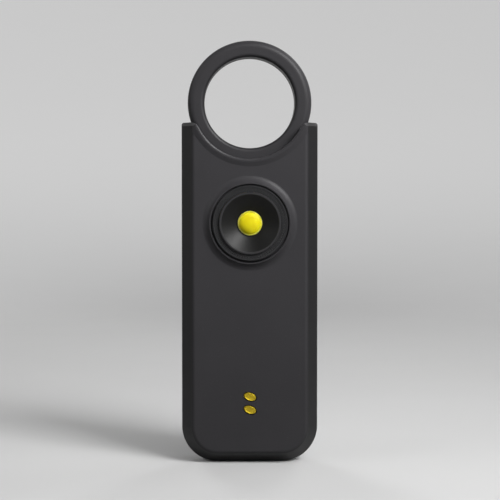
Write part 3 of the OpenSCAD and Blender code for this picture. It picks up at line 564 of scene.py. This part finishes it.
# %% Contact pads
pad_long = 1.7
pad_short = 1.05
pad_slant = math.radians(20)
pad_profile = [
    (0, -0.42), (0.97, -0.42), (1.0, -0.39), (1.0, -0.33), (0.98, -0.30), (0.945, -0.29),
    (0.93, -0.26), (0.925, -0.12), (0.915, -0.06), (0.89, -0.015), (0.85, 0.0), (0.80, -0.012),
    (0.75, -0.035), (0.69, -0.055), (0.46, -0.075), (0.23, -0.085), (0, -0.088)]
shank_r = 0.75
shank_chamfer = 0.1
shank_top = -0.4
shank_steps = 32
for name in contacts:
    centre = middle(name)
    tail = -span(name).y / MM
    shank_profile = [
        (0, tail), (shank_r - shank_chamfer, tail), (shank_r, tail + shank_chamfer),
        (shank_r, shank_top), (0, shank_top)]
    shape = bmesh.new()
    pad = lathe(shape, pad_profile)
    bmesh.ops.scale(shape, vec=(pad_long, pad_short, 1), verts=pad)
    lathe(shape, shank_profile, shank_steps)
    to_place = Matrix.Translation((centre.x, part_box(name)[0].y, centre.z))
    aslant = Matrix.Rotation(pad_slant, 4, "Y")
    to_front = Matrix.Rotation(math.pi / 2, 4, "X")
    bmesh.ops.transform(shape, matrix=to_place @ aslant @ to_front, verts=shape.verts)
    hand_over(name + "_pad", shape, metals["contact gold"], "housing", "contact_gold", name)

# %% [markdown]
# # One screw
# The screws sit in deep wells at the back. After the spin, the domed head is sliced along the
# edges of a cross, and the faces inside the cross are pushed down as the driver's recess. A
# boolean would do the same, but slicing keeps the faces clean.

# %% One screw
head_r = 1.6
head_h = 1.2
recess_half = 0.2
recess_arm = 0.9
recess_depth = 0.6
dome_from = 0.9
slice_gap = 0.0001 * MM
screw_steps = 48
screw_low, screw_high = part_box("shell_screws")
seat_y = screw_high.y - head_h * MM
tip = (screw_low.y - seat_y) / MM
screw_profile = [
    (0, tip), (0.6, tip), (0.85, tip + 0.4), (0.85, 0), (1.55, 0), (head_r, 0.06), (head_r, 0.5),
    (1.57, 0.68), (1.47, 0.85), (1.28, 1.0), (1.0, 1.1), (0.6, 1.17), (0, head_h)]


def cut_recess(screw):
    for axis in (Vector((1, 0, 0)), Vector((0, 1, 0))):
        for cut in (-recess_arm, -recess_half, recess_half, recess_arm):
            everything = screw.verts[:] + screw.edges[:] + screw.faces[:]
            bmesh.ops.bisect_plane(screw, geom=everything, dist=slice_gap,
                                   plane_co=axis * cut * MM, plane_no=axis)
    cross = []
    for face in screw.faces:
        spot = face.calc_center_median() / MM
        near, far = sorted((abs(spot.x), abs(spot.y)))
        if spot.z > dome_from and near < recess_half and far < recess_arm:
            cross.append(face)
    grown = bmesh.ops.extrude_face_region(screw, geom=cross)["geom"]
    bmesh.ops.delete(screw, geom=cross, context="FACES")
    recess_floor = [v for v in grown if isinstance(v, bmesh.types.BMVert)]
    bmesh.ops.translate(screw, vec=(0, 0, -recess_depth * MM), verts=recess_floor)


def screw_mesh(x, z, degrees):
    screw = bmesh.new()
    lathe(screw, screw_profile, screw_steps)
    bmesh.ops.remove_doubles(screw, verts=screw.verts, dist=merge_gap)
    cut_recess(screw)
    to_place = Matrix.Translation((x, seat_y, z))
    to_back = Matrix.Rotation(-math.pi / 2, 4, "X")
    turned = Matrix.Rotation(math.radians(degrees), 4, "Z")
    bmesh.ops.transform(screw, matrix=to_place @ to_back @ turned, verts=screw.verts)
    mesh = bpy.data.meshes.new("screw")
    screw.to_mesh(mesh)
    screw.free()
    return mesh


print("screw", round(head_h - tip, 2), "mm long")

# %% [markdown]
# # Four screws
# Two screws sit near the foot and two in the shoulders, mirrored left and right. A driver leaves
# each at its own angle, so each is turned by some other amount.

# %% Four screws
foot_well = (11 * MM, screw_low.z + head_r * MM)
shoulder_well = (screw_high.x - head_r * MM, screw_high.z - head_r * MM)
shape = bmesh.new()
for side in (-1, 1):
    for x, z in (foot_well, shoulder_well):
        degrees = 20 + 31 * side + 0.4 * z / MM
        one = screw_mesh(side * x, z, degrees)
        shape.from_mesh(one)
        bpy.data.meshes.remove(one)
hand_over("pan_screws", shape, metals["screw steel"], "housing", "screw_steel", "shell_screws")

# %% [markdown]
# # Floor and backdrop
# The alarm stands in a round studio bowl: a pale floor that curves up into a wall on all sides,
# so that no horizon shows from anywhere. The bowl is one more turned shape. Its own diffuse
# bounce is kept low, because pale paper all around would wash out the shadows on dark plastic.
# Far paper is brightened for the eye, and paper nearby is left to the lamps so that it keeps
# its shadows.

# %% Paper
bounce_tone = (0.08, 0.08, 0.08)
sheet_dark = (0.46, 0.46, 0.46)
sheet_light = (0.48, 0.48, 0.48)
no_glow = (0, 0, 0)
wall_glow = (0.50, 0.50, 0.50)
glow_distances = (120, 1000)
paper = Finish("pale paper", Roughness=0.9, Emission_Strength=1.0)
seen = paper.node("ShaderNodeLightPath", out="Is Camera Ray")
glossy = paper.node("ShaderNodeLightPath", out="Is Glossy Ray")
through = paper.node("ShaderNodeLightPath", out="Is Transmission Ray")
shown = seen.at_least(glossy.at_least(through))
sheet = paper.tint(paper.noise(paper.place(), 0.02, 3), sheet_dark, sheet_light)
away = paper.node("ShaderNodeVectorMath", {"operation": "LENGTH"}, {0: paper.place()}, "Value")
wall = paper.fade(away, *glow_distances)
paper.set(Base_Color=paper.tint(shown, bounce_tone, sheet),
          Emission_Color=paper.tint(shown * wall, no_glow, wall_glow))
print("paper nodes:", len(paper.tree.nodes))

# %% [markdown]
# # The bowl
# The bowl's profile is a flat floor, a quarter circle and a straight wall. The bend is a metre
# wide, so that its shading changes too slowly to be seen as an edge.

# %% Studio bowl
bowl_floor = 500
bowl_bend = 1000
bowl_top = 1600
bend_steps = 48
bowl_steps = 96
bowl_profile = [(0, 0), (bowl_floor / 2, 0)]
for step in range(bend_steps + 1):
    turn = math.pi / 2 * step / bend_steps
    out, up = math.sin(turn), 1 - math.cos(turn)
    bowl_profile.append((bowl_floor + bowl_bend * out, bowl_bend * up))
bowl_profile.append((bowl_floor + bowl_bend, bowl_top))
shape = bmesh.new()
lathe(shape, bowl_profile, bowl_steps)
smooth_object("bowl", shape, paper)

# %% [markdown]
# # Light
# The photograph has one lamp at the upper right with a wide soft halo around it, and a weaker
# fill from the left. A rim lamp high at the right draws the light line on the saddle's lip. Two
# lamps stand low behind the alarm and light its back. Their narrow spread keeps them off the
# backdrop, and no surface mirrors them, so the silhouette gets no bright seams from the front.
# The world gives the plain grey rest.

# %% Lamps and world
aim = Vector((0, panel_y, 0.055))
wide = math.radians(110)
narrow = math.radians(45)
world_grey = (0.5, 0.5, 0.5, 1)
world_strength = 0.25


def softbox(name, place, size, watts, spread, mirrored):
    lamp = bpy.data.lights.new(name, "AREA")
    lamp.shape = "SQUARE"
    lamp.size = size
    lamp.energy = watts
    lamp.spread = spread
    holder = bpy.data.objects.new(name, lamp)
    holder.location = place
    holder.rotation_euler = (aim - Vector(place)).to_track_quat("-Z", "Y").to_euler()
    holder.visible_camera = False
    holder.visible_glossy = mirrored
    bpy.context.scene.collection.objects.link(holder)


# Name, place and size in metres, watts, spread, and whether surfaces mirror the lamp
lamps = [
    ("key", (0.31, -0.37, 0.41), 0.24, 1.58, wide, True),
    ("halo", (0.34, -0.42, 0.44), 0.80, 1.36, wide, True),
    ("fill", (-0.62, -0.30, 0.40), 0.50, 0.42, wide, True),
    ("rim", (0.51, 0.35, 0.63), 0.30, 0.28, wide, True),
    ("rear left", (-0.30, 0.86, 0.24), 0.22, 0.40, narrow, False),
    ("rear right", (0.32, 0.85, 0.26), 0.22, 0.32, narrow, False),
]
for lamp in lamps:
    softbox(*lamp)
world = bpy.data.worlds.new("studio")
world.use_nodes = True
background = world.node_tree.nodes["Background"]
background.inputs["Color"].default_value = world_grey
background.inputs["Strength"].default_value = world_strength
bpy.context.scene.world = world
bpy.context.scene.view_settings.view_transform = "Standard"
print("lamps:", len(lamps))

# %% [markdown]
# # Camera
# The photograph was taken from nearly straight ahead with a long lens, a little above the
# middle of the alarm and looking slightly down. The lens follows from its focal length in
# pixels and the sensor's width.

# %% Camera
photo_px = 500
focal_px = 1519
sensor_mm = 36
camera_back = 0.398
camera_left = 0.007
camera_height = 0.072
look_height = 0.0565
lens = bpy.data.cameras.new("camera")
lens.sensor_width = sensor_mm
lens.lens = focal_px / photo_px * sensor_mm
camera = bpy.data.objects.new("camera", lens)
camera.location = (-camera_left, panel_y - camera_back, camera_height)
look_at = Vector((0, panel_y, look_height))
camera.rotation_euler = (look_at - camera.location).to_track_quat("-Z", "Y").to_euler()
bpy.context.scene.collection.objects.link(camera)
bpy.context.scene.camera = camera
print("lens", round(lens.lens, 2), "mm")
